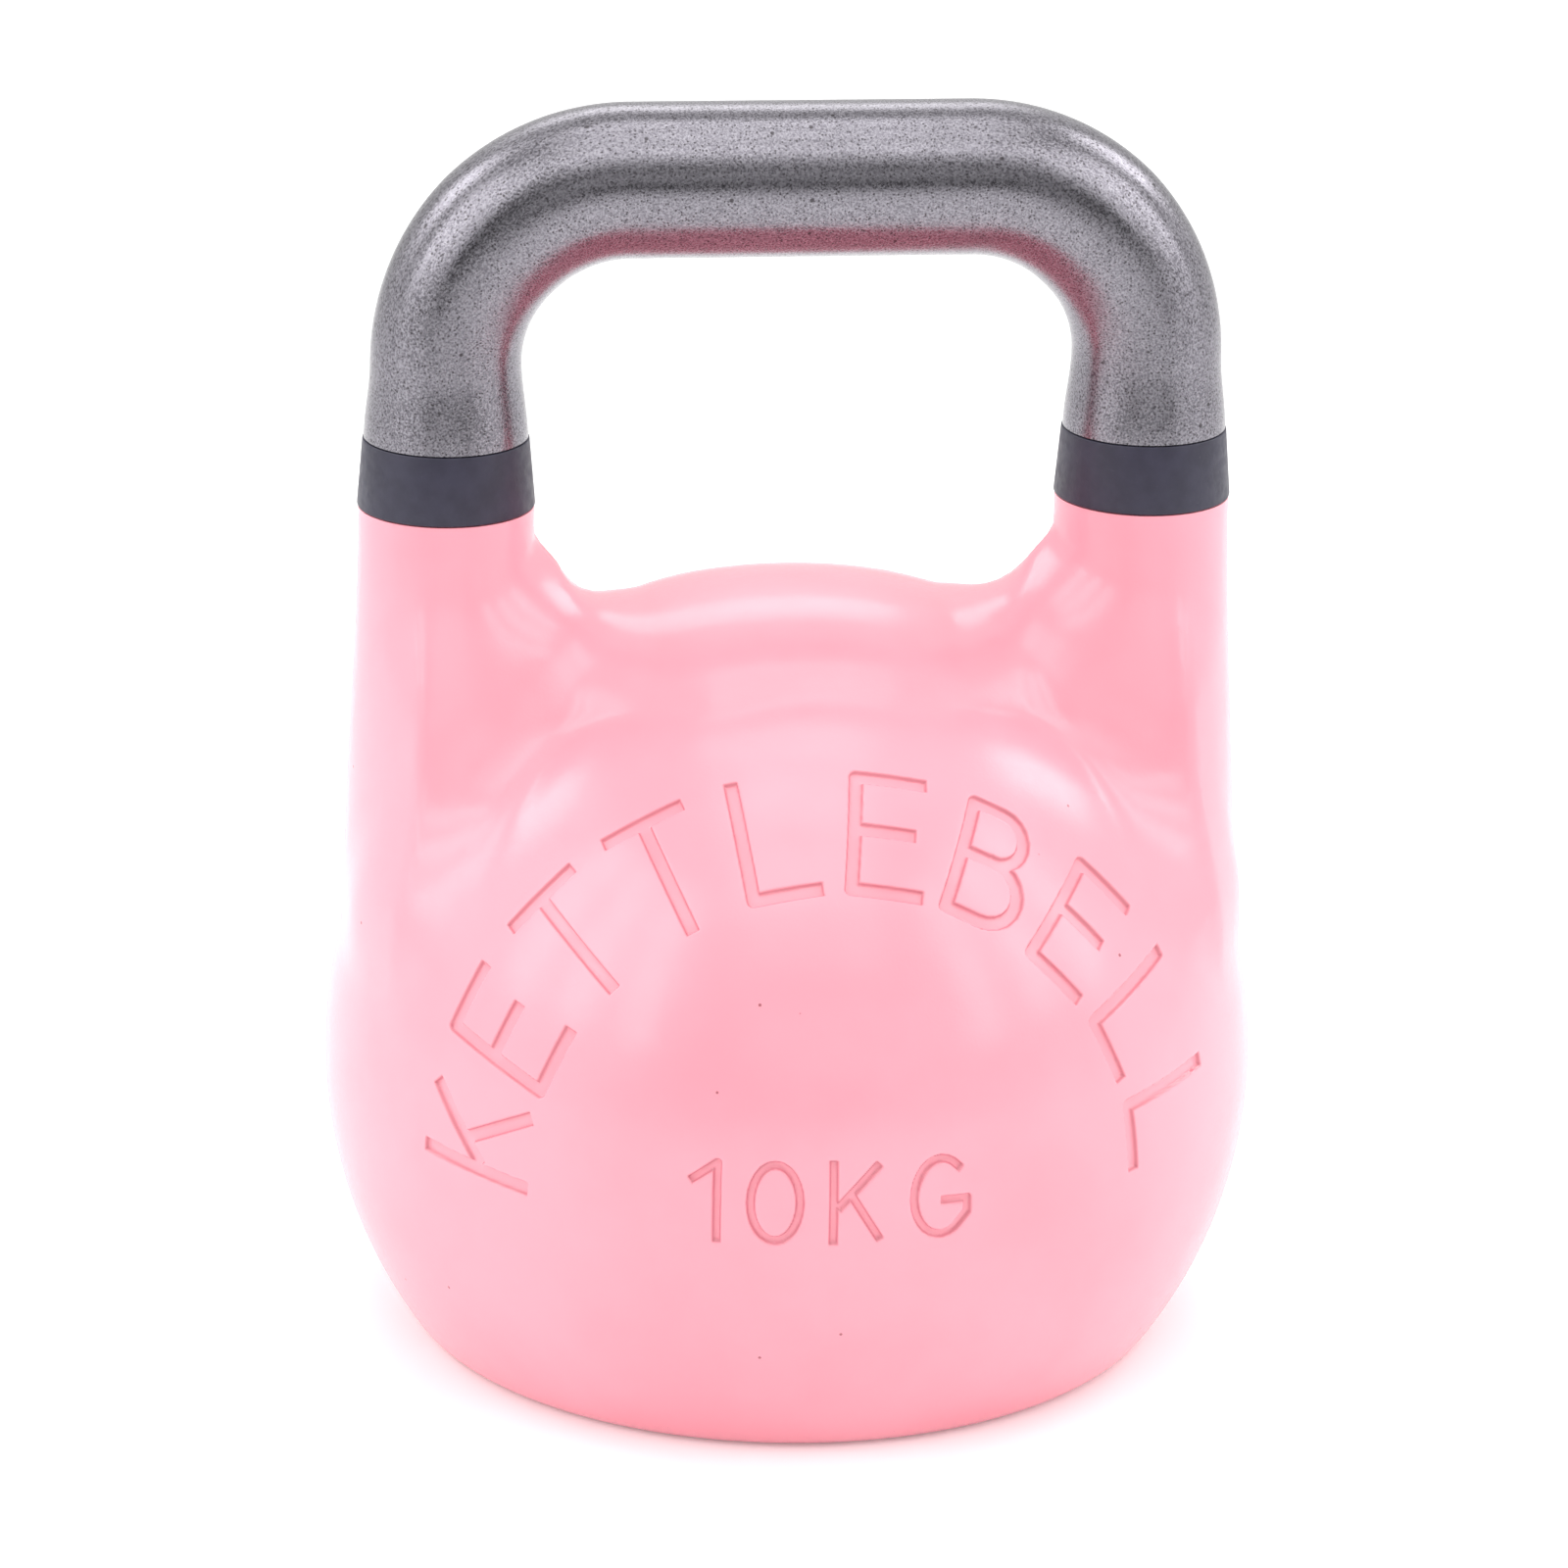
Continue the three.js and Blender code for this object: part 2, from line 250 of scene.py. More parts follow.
# ---- Lettering ------------------------------------------------------------------------------------

LETTER_WORD = "KETTLEBELL"
LETTER_HEIGHT = 27.0
LETTER_SPREAD = math.radians(166)           # from the first letter to the last, round the front
LETTER_TILT = math.radians(46.5)            # from the middle of the front to the letters' centres
WEIGHT_MARK = "10KG"
WEIGHT_HEIGHT = 17.1
WEIGHT_X = -2.2
WEIGHT_RISE = 4.0                           # above the ball's middle
WEIGHT_SPACING = 0.42                       # between its characters, in units of their height
LETTER_STROKE = 1.4                         # half widths of the cut strokes
WEIGHT_STROKE = 0.8
STROKE_DEPTH = 1.0
STROKE_WALL = 0.25                          # half the width of the sloping wall of a cut


def arc(centre, radii, start, end, steps=10):
    """Points on an ellipse, angles in degrees."""
    angles = np.radians(np.linspace(start, end, steps + 1))
    return [(centre[0] + radii[0] * math.cos(a), centre[1] + radii[1] * math.sin(a)) for a in angles]


# Each glyph is its width and its strokes, in units of the letter's height.
GLYPHS = {
    "K": (0.60, [[(0, 0), (0, 1)], [(0.54, 0.96), (0.08, 0.46)], [(0.22, 0.6), (0.56, 0.04)]]),
    "E": (0.52, [[(0.52, 1), (0, 1), (0, 0), (0.52, 0)], [(0, 0.52), (0.44, 0.52)]]),
    "T": (0.60, [[(0, 1), (0.6, 1)], [(0.3, 1), (0.3, 0)]]),
    "L": (0.50, [[(0, 1), (0, 0), (0.5, 0)]]),
    "B": (0.56, [
        [(0.29, 0), (0, 0), (0, 1)] + arc((0.27, 0.765), (0.22, 0.235), 90, -90) + [(0, 0.53)],
        arc((0.29, 0.265), (0.27, 0.265), 90, -90),
    ]),
    "1": (0.3, [[(0, 0.78), (0.3, 1), (0.3, 0)]]),
    "0": (0.62, [arc((0.31, 0.5), (0.31, 0.5), 0, 360, 24)]),
    "G": (0.7, [
        arc((0.35, 0.5), (0.35, 0.5), 50, 315, 20) + [(0.7, 0.27), (0.7, 0.45), (0.4, 0.45)],
    ]),
}


class Letter:
    """A glyph laid on the plane that touches the ball at its centre."""

    def __init__(self, glyph, height, stroke, centre, right, up):
        self.centre, self.right, self.up, self.stroke = centre, right, up, stroke
        self.reach = height
        self.segments = []
        width, strokes = GLYPHS[glyph]
        for line in strokes:
            points = (np.array(line) - (width / 2, 0.5)) * height
            open_ended = np.linalg.norm(points[0] - points[-1]) > stroke
            last = len(points) - 2
            for i, (start, end) in enumerate(zip(points, points[1:])):
                self.segments.append((start, end, open_ended and i == 0, open_ended and i == last))

    def stroke_distance(self, p):
        """From points near the letter to the edge of its nearest stroke, and below zero inside it."""
        flat = np.stack([(p - self.centre) @ self.right, (p - self.centre) @ self.up], axis=-1)
        nearest = np.full(len(p), np.inf)
        for start, end, square_start, square_end in self.segments:
            length = np.linalg.norm(end - start)
            along = (end - start) / length
            u = (flat - start) @ along
            v = np.abs((flat - start) @ np.array([-along[1], along[0]]))
            beyond = np.maximum(np.maximum(-u, u - length), 0.0)
            square = ((u < 0.0) & square_start) | ((u > length) & square_end)
            round_end = np.hypot(v, beyond) - self.stroke
            square_end_distance = np.maximum(v, beyond) - self.stroke
            nearest = np.minimum(nearest, np.where(square, square_end_distance, round_end))
        return nearest


def front_point(tilt, turn):
    """The outward direction at an angle from the middle of the front, turned clockwise from the top."""
    return np.array([math.sin(tilt) * math.sin(turn), -math.cos(tilt), math.sin(tilt) * math.cos(turn)])


def arc_letters():
    letters = []
    count = len(LETTER_WORD)
    for i, glyph in enumerate(LETTER_WORD):
        turn = LETTER_SPREAD * (i / (count - 1) - 0.5)
        out = front_point(LETTER_TILT, turn)
        right = np.array([math.cos(turn), 0.0, -math.sin(turn)])
        centre = BALL_CENTRE + BALL_RADIUS * out
        letters.append(Letter(glyph, LETTER_HEIGHT, LETTER_STROKE, centre, right, np.cross(out, right)))
    return letters


def weight_letters():
    widths = [GLYPHS[glyph][0] for glyph in WEIGHT_MARK]
    total = sum(widths) + WEIGHT_SPACING * (len(WEIGHT_MARK) - 1)
    letters = []
    cursor = WEIGHT_X / WEIGHT_HEIGHT - total / 2
    for glyph, width in zip(WEIGHT_MARK, widths):
        turn = (cursor + width / 2) * WEIGHT_HEIGHT / BALL_RADIUS
        out = unit(np.array([math.sin(turn), -math.cos(turn), WEIGHT_RISE / BALL_RADIUS]))
        right = np.array([math.cos(turn), math.sin(turn), 0.0])
        centre = BALL_CENTRE + BALL_RADIUS * out
        letters.append(Letter(glyph, WEIGHT_HEIGHT, WEIGHT_STROKE, centre, right, np.cross(right, -out)))
        cursor += width + WEIGHT_SPACING
    return letters


LETTERS = arc_letters() + weight_letters()


def stroke_distance(p):
    """From each point to the edge of the nearest stroke of the lettering."""
    nearest = np.full(len(p), 1000.0)
    for letter in LETTERS:
        close = np.flatnonzero(((p - letter.centre) ** 2).sum(-1) < letter.reach ** 2)
        if len(close):
            nearest[close] = np.minimum(nearest[close], letter.stroke_distance(p[close]))
    return nearest


def engraving(p):
    """Depth of the cut lettering at each point."""
    return STROKE_DEPTH * smooth_step(0.5 - stroke_distance(p) / (2.0 * STROKE_WALL))


# ---- Mesh helpers ---------------------------------------------------------------------------------

def new_object(name, mesh):
    piece = bpy.data.objects.new(name, mesh)
    bpy.context.scene.collection.objects.link(piece)
    return piece


def mesh_object(name, vertices, faces):
    """An object in metres from points in millimetres."""
    mesh = bpy.data.meshes.new(name)
    mesh.from_pydata(np.asarray(vertices) * MM, [], [list(map(int, face)) for face in faces])
    bm = bmesh.new()
    bm.from_mesh(mesh)
    bmesh.ops.recalc_face_normals(bm, faces=bm.faces)
    bm.to_mesh(mesh)
    bm.free()
    return new_object(name, mesh)


def turned(name, profile, centre_x=0.0, facets=96, ring=False):
    """Turns (radius, z) points about an upright axis. A ring's profile closes on itself."""
    angles = np.linspace(0.0, 2.0 * math.pi, facets, endpoint=False)
    vertices, rows = [], []
    for radius, z in profile:
        first = len(vertices)
        if radius < 1e-6:
            vertices.append((centre_x, 0.0, z))
            rows.append([first] * facets)
        else:
            vertices += [(centre_x + radius * math.cos(a), radius * math.sin(a), z) for a in angles]
            rows.append(list(range(first, first + facets)))
    pairs = list(zip(rows, rows[1:]))
    if ring:
        pairs.append((rows[-1], rows[0]))
    faces = []
    for lower, upper in pairs:
        for i in range(facets):
            j = (i + 1) % facets
            face = list(dict.fromkeys([lower[i], lower[j], upper[j], upper[i]]))
            faces.append(face)
    return mesh_object(name, vertices, [face for face in faces if len(face) > 2])


def upright(radius, low, high, centre_x=0.0, facets=96):
    return turned("tool", [(0.0, low), (radius, low), (radius, high), (0.0, high)], centre_x, facets)


def rounded(points, radius, steps=4):
    """A closed outline in (radius, z) with its corners rounded off."""
    outline = []
    points = [np.array(p, float) for p in points]
    for before, corner, after in zip(points[-1:] + points[:-1], points, points[1:] + points[:1]):
        start = corner + (before - corner) / np.linalg.norm(before - corner) * radius
        end = corner + (after - corner) / np.linalg.norm(after - corner) * radius
        for t in np.linspace(0.0, 1.0, steps + 1):
            outline.append(tuple((1 - t) ** 2 * start + 2 * t * (1 - t) * corner + t ** 2 * end))
    return outline


def combine(piece, operation, *others):
    """Adds or cuts away other objects, which are used up."""
    for other in others:
        modifier = piece.modifiers.new("combine", "BOOLEAN")
        modifier.operation = operation
        modifier.object = other
        modifier.solver = "MANIFOLD"
        graph = bpy.context.evaluated_depsgraph_get()
        result = bpy.data.meshes.new_from_object(piece.evaluated_get(graph))
        piece.modifiers.clear()
        piece.data = result
        bpy.data.objects.remove(other)


def shade(piece, hard_angle):
    """Smooth shading, with hard edges where faces meet at more than the angle in degrees."""
    piece.data.shade_smooth()
    piece.data.set_sharp_from_angle(angle=math.radians(hard_angle))


def finish(piece, material, slot, *nodes):
    """Gives a piece its material, and puts it in place of the CAD nodes."""
    piece.data.materials.clear()
    piece.data.materials.append(material)
    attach(piece, "root")
    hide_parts(*nodes)
    return piece


# ---- The bell -------------------------------------------------------------------------------------

SKIN_TOP_Z = HORN_TOP_Z + 6.0               # the skin runs on above the horns and is then cut back
FLOOR_THICKNESS = 8.0
FILLING_HOLE_RADIUS = 40.0
COLLAR_OVERLAP = 4.0                        # how far the collar reaches down into the horn
OVERRUN = 1.0                               # cutting tools run on past the surface by this
# The skin is halved three times: near the strokes and the base edge, nearer to both, then at stroke edges.
WIDE_STROKE_REACH, WIDE_BASE_REACH = 3.4, 4.0
CLOSE_STROKE_REACH, CLOSE_BASE_REACH = 1.6, 2.0
STROKE_EDGE_REACH = 0.95


def closed_distance(p):
    return np.maximum(bell_distance(p), p[..., 2] - SKIN_TOP_Z)


def near_strokes(p, reach):
    return stroke_distance(p) < reach


def near_stroke_edges(p, reach):
    return np.abs(stroke_distance(p)) < reach


def near_base_edge(p, reach):
    base_radius = math.sqrt(BALL_RADIUS ** 2 - BALL_CENTRE[2] ** 2)
    return (p[:, 2] < reach) & (np.abs(np.hypot(p[:, 0], p[:, 1]) - base_radius) < reach)


def bell_skin():
    """The engraved skin, closed by flat faces at the base and above the horns."""
    margin = 2.0 * NET_STEP
    low = np.array([-BALL_RADIUS, -BALL_RADIUS, 0.0]) - margin
    high = np.array([BALL_RADIUS, BALL_RADIUS, SKIN_TOP_Z]) + margin
    vertices, quads = surface_net(closed_distance, low, high, NET_STEP)
    vertices = settle(closed_distance, vertices, 6)
    vertices = relax(closed_distance, vertices, quads, 6)
    mesh = bpy.data.meshes.new("skin")
    mesh.from_pydata(vertices, [], [list(map(int, quad)) for quad in quads])
    bm = bmesh.new()
    bm.from_mesh(mesh)
    bpy.data.meshes.remove(mesh)
    for strokes, base in ((WIDE_STROKE_REACH, WIDE_BASE_REACH), (CLOSE_STROKE_REACH, CLOSE_BASE_REACH)):
        refine(bm, closed_distance, lambda p: near_strokes(p, strokes) | near_base_edge(p, base))
    refine(bm, closed_distance, lambda p: near_stroke_edges(p, STROKE_EDGE_REACH))
    points = settle(closed_distance, get_points(bm), 4)
    outward = unit(gradient(closed_distance, points))
    set_points(bm, (points - outward * engraving(points)[:, None]) * MM)
    mesh = bpy.data.meshes.new("bell")
    bm.to_mesh(mesh)
    bm.free()
    layer = mesh.attributes.new("cut", "FLOAT", "POINT")
    layer.data.foreach_set("value", engraving(points) / STROKE_DEPTH)
    return new_object("bell", mesh)


def cavity():
    """A round hollow, flat above the floor."""
    start = math.asin((FLOOR_THICKNESS - BALL_CENTRE[2]) / CAVITY_RADIUS)
    profile = [(0.0, FLOOR_THICKNESS)]
    for angle in np.linspace(start, math.pi / 2, 40):
        profile.append((CAVITY_RADIUS * math.cos(angle), BALL_CENTRE[2] + CAVITY_RADIUS * math.sin(angle)))
    profile[-1] = (0.0, profile[-1][1])
    return turned("cavity", profile)


def collar(side):
    """The horn's end that the band goes round."""
    return turned("collar", [
        (0.0, HORN_TOP_Z - COLLAR_OVERLAP),
        (COLLAR_FOOT_RADIUS, HORN_TOP_Z - COLLAR_OVERLAP),
        (COLLAR_FOOT_RADIUS, HORN_TOP_Z),
        (GRIP_RADIUS, COLLAR_TOP_Z),
        (0.0, COLLAR_TOP_Z),
    ], side * LEG_X)


def spigot_socket(side):
    return upright(SPIGOT_RADIUS + GAP, SPIGOT_FOOT_Z - GAP, COLLAR_TOP_Z + 2.0 * OVERRUN, side * LEG_X)


def make_bell():
    bell = bell_skin()
    combine(bell, "DIFFERENCE", upright(2.0 * BALL_RADIUS, HORN_TOP_Z, HEIGHT))
    combine(bell, "UNION", collar(1), collar(-1))
    combine(bell, "DIFFERENCE", spigot_socket(1), spigot_socket(-1), cavity())
    combine(bell, "DIFFERENCE", upright(FILLING_HOLE_RADIUS, -OVERRUN, FLOOR_THICKNESS + OVERRUN))
    combine(bell, "DIFFERENCE", upright(PLATE_HIGH[0] + GAP, -OVERRUN, PLATE_TOP_Z + GAP))
    shade(bell, 66.0)
    return bell


# ---- The handle -----------------------------------------------------------------------------------

BAR_SIDES = 112
BAR_STEP = 1.2                              # between the rings along the bar
FOOT_Z = COLLAR_TOP_Z + GAP
SPIGOT_FOOT_Z = HANDLE_LOW[2]
LEG_LENGTH = BAR_Z - BEND_RADIUS - FOOT_Z
BEND_LENGTH = BEND_RADIUS * math.pi / 2
HALF_BAR = LEG_X - BEND_RADIUS
HALF_LENGTH = LEG_LENGTH + BEND_LENGTH + HALF_BAR
LEG_SLIMMING = 0.45                         # the legs are a little slimmer half way up
FLARE = 1.1                                 # and widen again to lie flush with the bands
FLARE_HEIGHT = 16.0
LIP_Z = BAND_HIGH[2] + GAP
SPIGOT_CHAMFER = 1.5


def bar_point(s):
    """The centre line and its outward normal in X and Z, at a distance from the middle of the bar."""
    side, along = np.sign(s), abs(s)
    turn = np.clip((along - HALF_BAR) / BEND_RADIUS, 0.0, math.pi / 2)
    down = max(along - HALF_BAR - BEND_LENGTH, 0.0)
    x = min(along, HALF_BAR) + BEND_RADIUS * math.sin(turn)
    z = BAR_Z - BEND_RADIUS * (1.0 - math.cos(turn)) - down
    return np.array([side * x, 0.0, z]), np.array([side * math.sin(turn), 0.0, math.cos(turn)])


def bar_radius(s):
    """Full at the bar, slimmer down the legs and flared above the bands."""
    down = (abs(s) - HALF_BAR - BEND_LENGTH * 0.5) / (LEG_LENGTH + BEND_LENGTH * 0.5)
    above_lip = HALF_LENGTH - (LIP_Z - FOOT_Z) - abs(s)
    flare = FLARE * smooth_step(1.0 - above_lip / FLARE_HEIGHT)
    return GRIP_RADIUS - LEG_SLIMMING * math.sin(math.pi * np.clip(down, 0.0, 1.0)) + flare


def make_handle():
    """A swept bar with a thinner spigot at each end."""
    count = int(2 * HALF_LENGTH / BAR_STEP)
    spigot = HALF_LENGTH + FOOT_Z - SPIGOT_FOOT_Z
    lip = HALF_LENGTH - (LIP_Z - FOOT_Z)
    ends = [(lip, GRIP_RADIUS), (HALF_LENGTH, GRIP_RADIUS), (HALF_LENGTH, SPIGOT_RADIUS)]
    ends += [(spigot - SPIGOT_CHAMFER, SPIGOT_RADIUS), (spigot, SPIGOT_RADIUS - SPIGOT_CHAMFER)]
    rings = [(-s, radius) for s, radius in reversed(ends)]
    rings += [(s, bar_radius(s)) for s in np.linspace(-lip, lip, count)]
    rings += ends
    angles = np.linspace(0.0, 2.0 * math.pi, BAR_SIDES, endpoint=False)
    vertices, straight, lengthwise = [], [], []
    for s, radius in rings:
        centre, outward = bar_point(s)
        lengthwise += [(outward[2], 0.0, -outward[0])] * BAR_SIDES
        for angle in angles:
            across = radius * np.array([math.cos(angle), math.sin(angle)])
            vertices.append(centre + across[0] * outward + across[1] * np.array([0.0, 1.0, 0.0]))
            straight.append((s, *across))
    faces = [list(range(BAR_SIDES)), list(range(len(vertices) - BAR_SIDES, len(vertices)))[::-1]]
    for i in range(len(rings) - 1):
        for j in range(BAR_SIDES):
            k = (j + 1) % BAR_SIDES
            near, far = i * BAR_SIDES, (i + 1) * BAR_SIDES
            faces.append([near + j, far + j, far + k, near + k])
    handle = mesh_object("handle_bar", vertices, faces)
    for name, values in (("straight", np.array(straight) * MM), ("lengthwise", np.array(lengthwise))):
        layer = handle.data.attributes.new(name, "FLOAT_VECTOR", "POINT")
        layer.data.foreach_set("vector", values.ravel())
    shade(handle, 40.0)
    return handle


# ---- Bands ----------------------------------------------------------------------------------------

BAND_THICKNESS = 1.0
BAND_ROUNDING = 0.3


def make_band(name, side):
    foot, top = COLLAR_FOOT_RADIUS + GAP, GRIP_RADIUS + GAP
    outline = [(foot, BAND_LOW[2]), (foot + BAND_THICKNESS, BAND_LOW[2])]
    outline += [(top + BAND_THICKNESS, BAND_HIGH[2]), (top, BAND_HIGH[2])]
    band = turned(name, rounded(outline, BAND_ROUNDING), side * LEG_X, 160, ring=True)
    shade(band, 50.0)
    return band


# ---- The base -------------------------------------------------------------------------------------

PLATE_TOP_Z = 6.0
BOSS_RADIUS = 17.0
EDGE = 0.5                                  # rounding of turned edges
SHANK_RADIUS = 11.0
HEX_SOCKET_FLATS = 12.0
HEX_SOCKET_DEPTH = 6.0
HEAD_CHAMFER = 0.6
SHANK_CHAMFER = 1.0
SEAL_CLEARANCE = 0.5                        # between the seal and the shank


def make_base_plate():
    bore = SHANK_RADIUS + GAP
    recess = PLUG_HIGH[0] + GAP
    recess_top = SEAL_HIGH[2] + GAP
    profile = rounded([
        (bore, recess_top), (recess, recess_top), (recess, PLATE_LOW[2]), (PLATE_HIGH[0], PLATE_LOW[2]),
        (PLATE_HIGH[0], PLATE_TOP_Z), (BOSS_RADIUS, PLATE_TOP_Z), (BOSS_RADIUS, PLATE_HIGH[2]),
        (bore, PLATE_HIGH[2]),
    ], EDGE)
    plate = turned("base_cover", profile, ring=True)
    shade(plate, 30.0)
    return plate


def make_plug():
    head_top = SEAL_LOW[2] - GAP
    outline = [(PLUG_HIGH[0] - HEAD_CHAMFER, PLUG_LOW[2]), (PLUG_HIGH[0], PLUG_LOW[2] + HEAD_CHAMFER)]
    outline += [(PLUG_HIGH[0], head_top), (SHANK_RADIUS, head_top)]
    outline += [(SHANK_RADIUS, PLUG_HIGH[2] - SHANK_CHAMFER), (SHANK_RADIUS - SHANK_CHAMFER, PLUG_HIGH[2])]
    plug = turned("base_plug", [(0.0, PLUG_LOW[2])] + outline + [(0.0, PLUG_HIGH[2])])
    socket_top = PLUG_LOW[2] + HEX_SOCKET_DEPTH
    combine(plug, "DIFFERENCE", upright(HEX_SOCKET_FLATS / math.sqrt(3), -OVERRUN, socket_top, facets=6))
    shade(plug, 30.0)
    return plug


def make_seal():
    outline = [(SEAL_HIGH[0], SEAL_LOW[2]), (SEAL_HIGH[0], SEAL_HIGH[2])]
    outline += [(SHANK_RADIUS + SEAL_CLEARANCE, SEAL_HIGH[2]), (SHANK_RADIUS + SEAL_CLEARANCE, SEAL_LOW[2])]
    seal = turned("base_seal", rounded(outline, 0.12, 3), ring=True)
    shade(seal, 50.0)
    return seal


# ---- Materials ------------------------------------------------------------------------------------

class Finish:
    """A node material built round one Principled shader. Keyword names are the shader's own sockets."""

    def __init__(self, name, **constants):
        self.material = bpy.data.materials.new(name)
        self.material.use_nodes = True
        self.tree = self.material.node_tree
        self.shader = self.tree.nodes["Principled BSDF"]
        for socket, value in constants.items():
            self.shader.inputs[socket.replace("_", " ")].default_value = value

    def node(self, kind, inputs, output=0, **settings):
        """Adds a node. An input is a number, a colour or another node's output."""
        node = self.tree.nodes.new("ShaderNode" + kind)
        for key, value in settings.items():
            setattr(node, key, value)
        for key, value in inputs.items():
            if isinstance(value, bpy.types.NodeSocket):
                self.tree.links.new(value, node.inputs[key])
            else:
                node.inputs[key].default_value = value
        return node.outputs[output]

    def object_place(self):
        return self.node("TexCoord", {}, "Object")

    def named_place(self, name):
        return self.node("Attribute", {}, "Vector", attribute_name=name)

    def named_share(self, name):
        return self.node("Attribute", {}, "Fac", attribute_name=name)

    def stretched(self, place, factors):
        return self.node("VectorMath", {0: place, 1: factors}, operation="MULTIPLY")

    def noise(self, place, size, detail=2.0, roughness=0.5):
        """Smooth noise whose features are about the given size in millimetres."""
        inputs = {"Vector": place, "Scale": 1.0 / (size * MM), "Detail": detail, "Roughness": roughness}
        return self.node("TexNoise", inputs, "Fac")

    def cells(self, place, size, output="Distance"):
        return self.node("TexVoronoi", {"Vector": place, "Scale": 1.0 / (size * MM)}, output)

    def ramp(self, value, low, high, to_low=0.0, to_high=1.0):
        """Maps low..high to to_low..to_high, and holds the ends."""
        inputs = {"Value": value, 1: low, 2: high, 3: to_low, 4: to_high}
        return self.node("MapRange", inputs, interpolation_type="SMOOTHSTEP")

    def math(self, operation, a, b=0.0):
        return self.node("Math", {0: a, 1: b}, operation=operation)

    def mix(self, share, a, b):
        """A colour between a and b."""
        node = self.tree.nodes.new("ShaderNodeMix")
        node.data_type = "RGBA"
        for socket, value in ((node.inputs[0], share), (node.inputs[6], a), (node.inputs[7], b)):
            if isinstance(value, bpy.types.NodeSocket):
                self.tree.links.new(value, socket)
            else:
                socket.default_value = value
        return node.outputs[2]

    def bump(self, height, depth, below=None):
        """Height 0..1 raised by the given depth in millimetres."""
        inputs = {"Height": height, "Strength": 1.0, "Distance": depth * MM}
        if below is not None:
            inputs["Normal"] = below
        return self.node("Bump", inputs)

    def set(self, socket, value):
        self.tree.links.new(value, self.shader.inputs[socket])


def linear(red, green, blue):
    """A colour from 0..255 screen values."""
    def channel(value):
        value /= 255.0
        return value / 12.92 if value <= 0.04045 else ((value + 0.055) / 1.055) ** 2.4
    return (channel(red), channel(green), channel(blue), 1.0)


def specks(finish, place, spacing, size, share):
    """1 inside scattered round specks, and 0 between them. Only a share of the cells has one."""
    near = finish.ramp(finish.cells(place, spacing), 0.6 * size / spacing, size / spacing, 1.0, 0.0)
    chosen = finish.cells(place, spacing, "Color")
    pick = finish.math("LESS_THAN", finish.node("SeparateColor", {"Color": chosen}, "Red"), share)
    return finish.math("MULTIPLY", near, pick)


def pink_paint():
    """Satin powder coat: a fine orange peel, a few dark specks, faint uneven patches and painted shade on
    the walls of the cut letters.
    """
    paint = Finish("pink_paint", IOR=1.5)
    place = paint.object_place()
    patches = paint.ramp(paint.noise(place, 45.0, 3.0), 0.3, 0.7)
    colour = paint.mix(patches, linear(245, 156, 170), linear(249, 163, 177))
    cut = paint.named_share("cut")
    # Painted shade: the sloping walls of the cut letters are darkened towards a deeper pink, standing in
    # for the shade in the grooves.
    painted_wall_shade = paint.math("MULTIPLY", cut, paint.math("SUBTRACT", 1.0, cut))
    colour = paint.mix(paint.math("MULTIPLY", painted_wall_shade, 2.4), colour, linear(196, 104, 118))
    dust = specks(paint, place, 9.0, 0.5, 0.2)
    colour = paint.mix(paint.math("MULTIPLY", dust, 0.75), colour, linear(120, 60, 66))
    paint.set("Base Color", colour)
    paint.set("Roughness", paint.ramp(paint.noise(place, 1.2, 3.0), 0.3, 0.7, 0.17, 0.25))
    peel = paint.bump(paint.noise(place, 0.7, 2.0), 0.02)
    paint.set("Normal", paint.bump(paint.noise(place, 7.0), 0.05, peel))
    return paint.material


def bare_steel():
    """Ground steel with fine scratches across the bar, mottling and small dark pits."""
    steel = Finish("bare_steel", Metallic=1.0, Anisotropic=0.8)
    place = steel.named_place("straight")
    steel.set("Tangent", steel.named_place("lengthwise"))
    grain = steel.ramp(steel.noise(place, 0.5, 3.0, 0.6), 0.3, 0.7)
    broad = steel.ramp(steel.noise(place, 16.0, 3.0), 0.3, 0.7)
    scratches = steel.noise(steel.stretched(place, (1.0, 0.1, 0.1)), 0.3, 3.0, 0.7)
    pits = specks(steel, place, 0.75, 0.27, 0.55)
    stains = specks(steel, place, 4.5, 0.6, 0.3)
    dark = steel.math("MAXIMUM", pits, stains)
    colour = steel.mix(grain, linear(102, 99, 106), linear(153, 150, 157))
    colour = steel.mix(steel.math("MULTIPLY", dark, 0.8), colour, linear(56, 52, 54))
    steel.set("Base Color", colour)
    fine = steel.ramp(grain, 0.0, 1.0, 0.2, 0.28)
    steel.set("Roughness", steel.math("ADD", fine, steel.ramp(broad, 0.0, 1.0, 0.0, 0.06)))
    lines = steel.bump(scratches, 0.012)
    steel.set("Normal", steel.bump(steel.math("SUBTRACT", grain, dark), 0.014, lines))
    return steel.material


def dark_vinyl():
    """A satin dark sleeve, slightly uneven, with pale scuffs."""
    vinyl = Finish("dark_vinyl", IOR=1.48)
    place = vinyl.object_place()
    cloudy = vinyl.ramp(vinyl.noise(place, 6.0, 3.0), 0.3, 0.7)
    colour = vinyl.mix(cloudy, linear(38, 36, 53), linear(46, 44, 62))
    scuffs = vinyl.noise(vinyl.stretched(place, (1.0, 1.0, 5.0)), 1.6, 4.0, 0.7)
    colour = vinyl.mix(vinyl.ramp(scuffs, 0.66, 0.8, 0.0, 0.35), colour, linear(130, 126, 140))
    vinyl.set("Base Color", colour)
    vinyl.set("Roughness", vinyl.ramp(vinyl.noise(place, 2.0, 3.0), 0.3, 0.7, 0.4, 0.52))
    vinyl.set("Normal", vinyl.bump(vinyl.noise(place, 0.8, 3.0), 0.04))
    return vinyl.material


